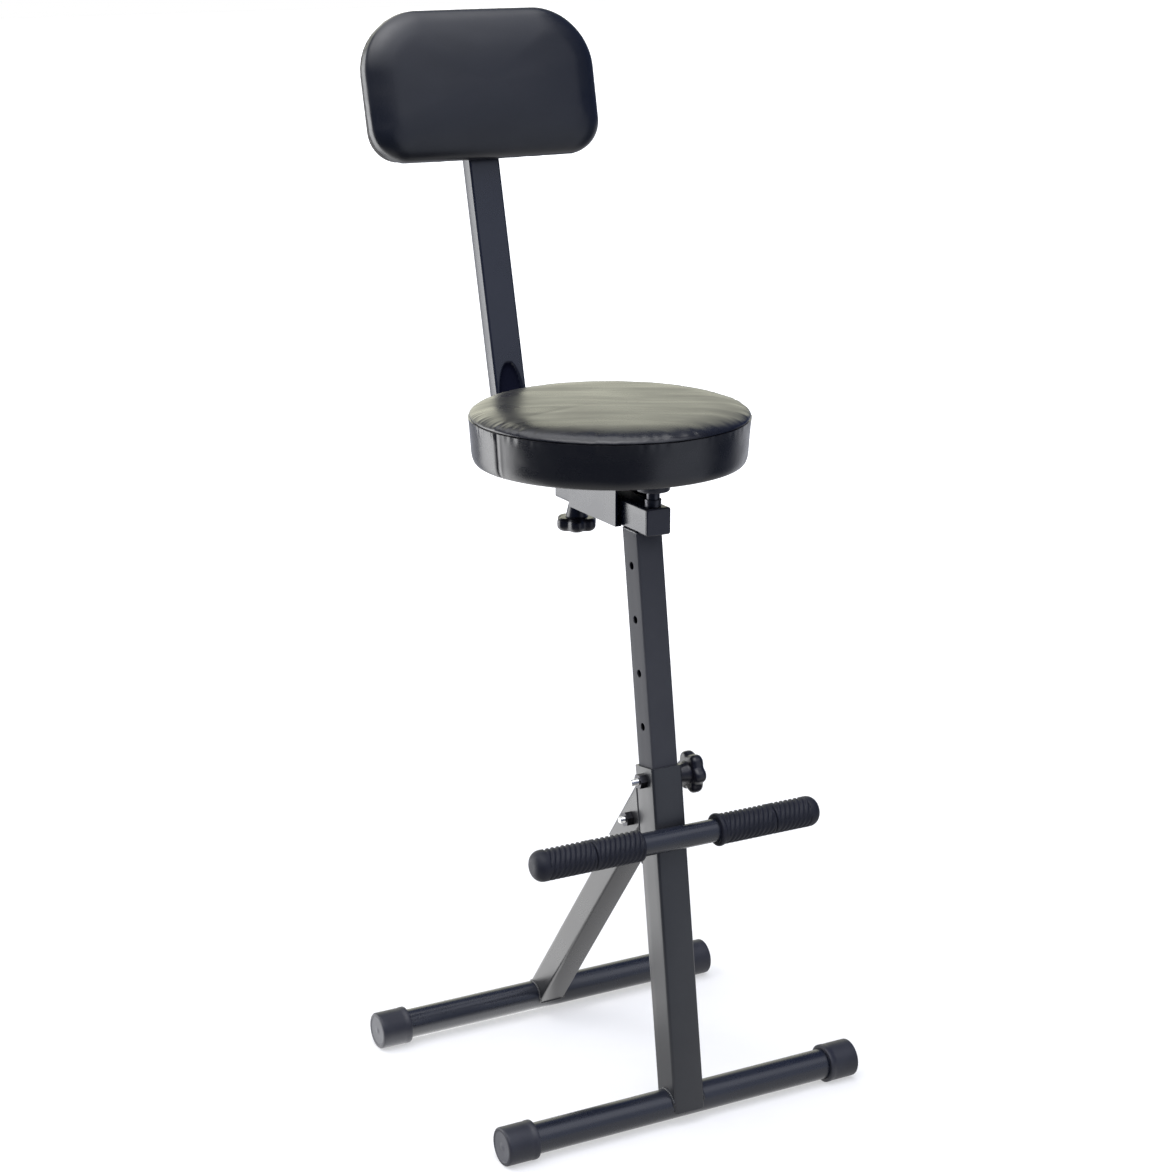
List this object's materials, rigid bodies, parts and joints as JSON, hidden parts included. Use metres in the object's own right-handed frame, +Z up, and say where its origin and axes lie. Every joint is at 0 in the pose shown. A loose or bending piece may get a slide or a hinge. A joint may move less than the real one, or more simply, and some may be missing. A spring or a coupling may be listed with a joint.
{
  "type": "high music stool",
  "caption": "Folding high stool with a round padded seat on a telescopic column, a sliding padded backrest, a footrest across the post and a hinged rear leg.",
  "frame": {"origin": "on the floor, under the middle of the stool's outer box", "axes": "+Z up, +Y to the rear where the backrest stands, +X to the sitter's left, the side of the height knob"},
  "size_m": [0.456, 0.5464, 1.2048],
  "materials": {
    "black_powder_coat": "semi-gloss black powder coat",
    "black_rubber": "matt black",
    "ribbed_grip_rubber": "matt black with fine ribs",
    "bright_zinc": "bright zinc plate",
    "black_zinc": "black zinc plate",
    "black_plastic": "satin black",
    "dark_board": "dark board",
    "black_vinyl": "smooth black vinyl-coated fabric over foam"
  },
  "bodies": {
    "base": {"front_foot_bar": "black_powder_coat", "front_foot_cap_left": "black_rubber", "front_foot_cap_right": "black_rubber", "lower_post": "black_powder_coat", "leg_bracket": "black_powder_coat", "pivot_bolt": "bright_zinc", "pivot_nut": "bright_zinc", "lock_nut": "bright_zinc", "lock_screw_end": "bright_zinc", "footrest_bar": "black_powder_coat", "footrest_grip_left_outer": "ribbed_grip_rubber", "footrest_grip_left_inner": "ribbed_grip_rubber", "footrest_grip_right_inner": "ribbed_grip_rubber", "footrest_grip_right_outer": "ribbed_grip_rubber"},
    "rear_leg": {"rear_leg": "black_powder_coat", "rear_foot_bar": "black_powder_coat", "rear_foot_cap_left": "black_rubber", "rear_foot_cap_right": "black_rubber"},
    "seat_column": {"upper_post": "black_powder_coat", "seat_arm": "black_powder_coat", "arm_plug": "black_plastic", "seat_channel": "black_powder_coat", "seat_plate": "black_powder_coat", "front_spacer": "black_zinc", "front_buffer": "black_rubber", "seat_board": "dark_board", "seat_cushion": "black_vinyl", "clamp_nut": "black_zinc"},
    "backrest": {"back_tube": "black_powder_coat", "back_board": "dark_board", "back_cushion": "black_vinyl"},
    "height_knob": {"height_knob": "black_plastic", "height_screw": "bright_zinc"},
    "backrest_knob": {"backrest_knob": "black_plastic", "backrest_screw": "bright_zinc"}
  },
  "joints": [
    {"name": "height_slide", "type": "slide", "parent": "base", "child": "seat_column", "axis": [0, 0.1478, 0.989], "range_m": [-0.24, 0]},
    {"name": "leg_fold", "type": "hinge", "parent": "base", "child": "rear_leg", "pos_m": [0, -0.16622, 0.3364], "axis": [1, 0, 0], "range_deg": [-46, 0]},
    {"name": "backrest_slide", "type": "slide", "parent": "seat_column", "child": "backrest", "axis": [0, 1, 0], "range_m": [-0.04, 0.04]},
    {"name": "height_knob_turn", "type": "hinge", "parent": "base", "child": "height_knob", "pos_m": [0, -0.196, 0.3908], "axis": [1, 0, 0], "continuous": true},
    {"name": "backrest_knob_turn", "type": "hinge", "parent": "seat_column", "child": "backrest_knob", "pos_m": [0, -0.00545, 0.66713], "axis": [0, 0, 1], "continuous": true}
  ]
}
